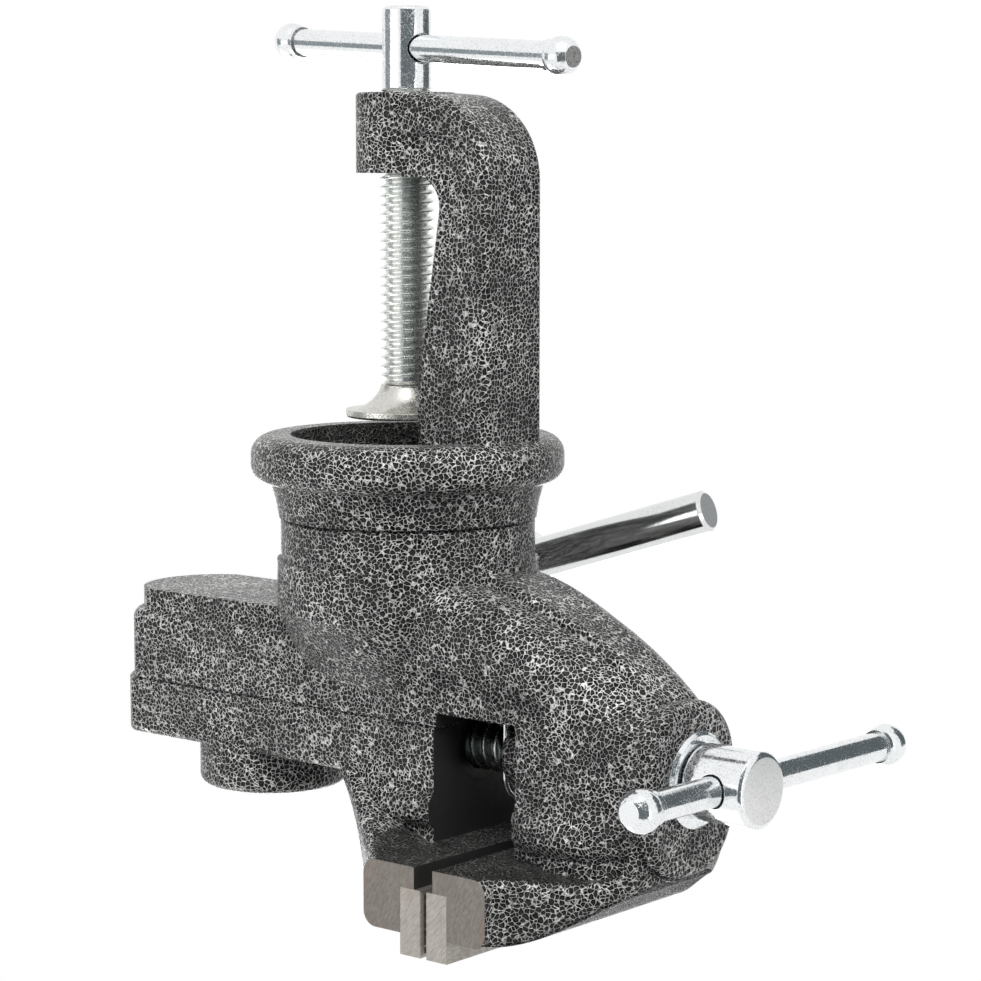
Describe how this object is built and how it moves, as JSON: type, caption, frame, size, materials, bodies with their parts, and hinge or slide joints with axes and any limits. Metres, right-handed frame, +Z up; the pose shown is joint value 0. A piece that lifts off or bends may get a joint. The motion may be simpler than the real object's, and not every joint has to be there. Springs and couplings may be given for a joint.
{
  "type": "swivel bench vise",
  "caption": "Clamp-on bench vise that swivels on a round base with a C-clamp, with serrated steel jaw plates, a keyed slide with a round anvil, and sliding T-bars.",
  "frame": {"origin": "on the swivel axis, in the plane of the face that rests on the bench", "axes": "+Z up along the swivel axis, X along the jaws, -Y towards the operator's side with the lead screw's T-bar"},
  "size_m": [0.1048, 0.1925, 0.2146],
  "materials": {
    "hammertone": "glossy charcoal hammertone enamel on cast iron",
    "zinc": "bright zinc plated steel",
    "ground_steel": "ground and serrated steel",
    "dark_steel": "blackened steel",
    "nut_iron": "plain cast iron"
  },
  "bodies": {
    "base": {"swivel_base": "hammertone", "swivel_washer": "zinc"},
    "pad": {"clamp_pad": "zinc"},
    "clamp_screw": {"clamp_screw": "zinc"},
    "clamp_bar": {"clamp_bar": "zinc", "clamp_bar_knobs": "zinc"},
    "body": {"vise_body": "hammertone", "front_jaw_plate": "ground_steel", "front_plate_screws": "dark_steel", "swivel_bolt": "zinc", "lead_washer": "zinc", "thrust_washer": "zinc"},
    "slide": {"sliding_jaw": "hammertone", "rear_jaw_plate": "ground_steel", "rear_plate_screws": "dark_steel", "lead_nut": "nut_iron"},
    "lead_screw": {"lead_screw": "zinc", "screw_clip": "zinc"},
    "lead_bar": {"lead_bar": "zinc", "lead_bar_knobs": "zinc"},
    "lock_lever": {"lock_bolt": "zinc", "lock_rod": "zinc"}
  },
  "joints": [
    {"name": "swivel", "type": "hinge", "parent": "base", "child": "body", "pos_m": [0, 0, 0.0196], "axis": [0, 0, 1], "continuous": true},
    {"name": "jaw_slide", "type": "slide", "parent": "body", "child": "slide", "axis": [0, 1, 0], "range_m": [-0.001, 0.045]},
    {"name": "lead_screw_turn", "type": "hinge", "parent": "body", "child": "lead_screw", "pos_m": [0, -0.0957, 0.0723], "axis": [0, 1, 0], "range_deg": [-4630, 104]},
    {"name": "lead_bar_slide", "type": "slide", "parent": "lead_screw", "child": "lead_bar", "axis": [0.9999, 0, -0.0105], "range_m": [-0.019, 0.048]},
    {"name": "pad_slide", "type": "slide", "parent": "base", "child": "pad", "axis": [0, 0, 1], "range_m": [-0.048, 0.0006]},
    {"name": "clamp_screw_turn", "type": "hinge", "parent": "pad", "child": "clamp_screw", "pos_m": [0, 0, -0.0911], "axis": [0, 0, 1], "range_deg": [-8165, 104]},
    {"name": "clamp_bar_slide", "type": "slide", "parent": "clamp_screw", "child": "clamp_bar", "axis": [0.1389, -0.9885, 0.0593], "range_m": [-0.042, 0.033]},
    {"name": "lock_turn", "type": "hinge", "parent": "body", "child": "lock_lever", "pos_m": [-0.0399, 0, 0.0365], "axis": [1, 0, 0], "range_deg": [-60, 12]}
  ],
  "couplings": [
    {"joint": "lead_screw_turn", "follows": "jaw_slide", "rad_per_m": -1795.2},
    {"joint": "clamp_screw_turn", "follows": "pad_slide", "rad_per_m": 2968.4}
  ]
}
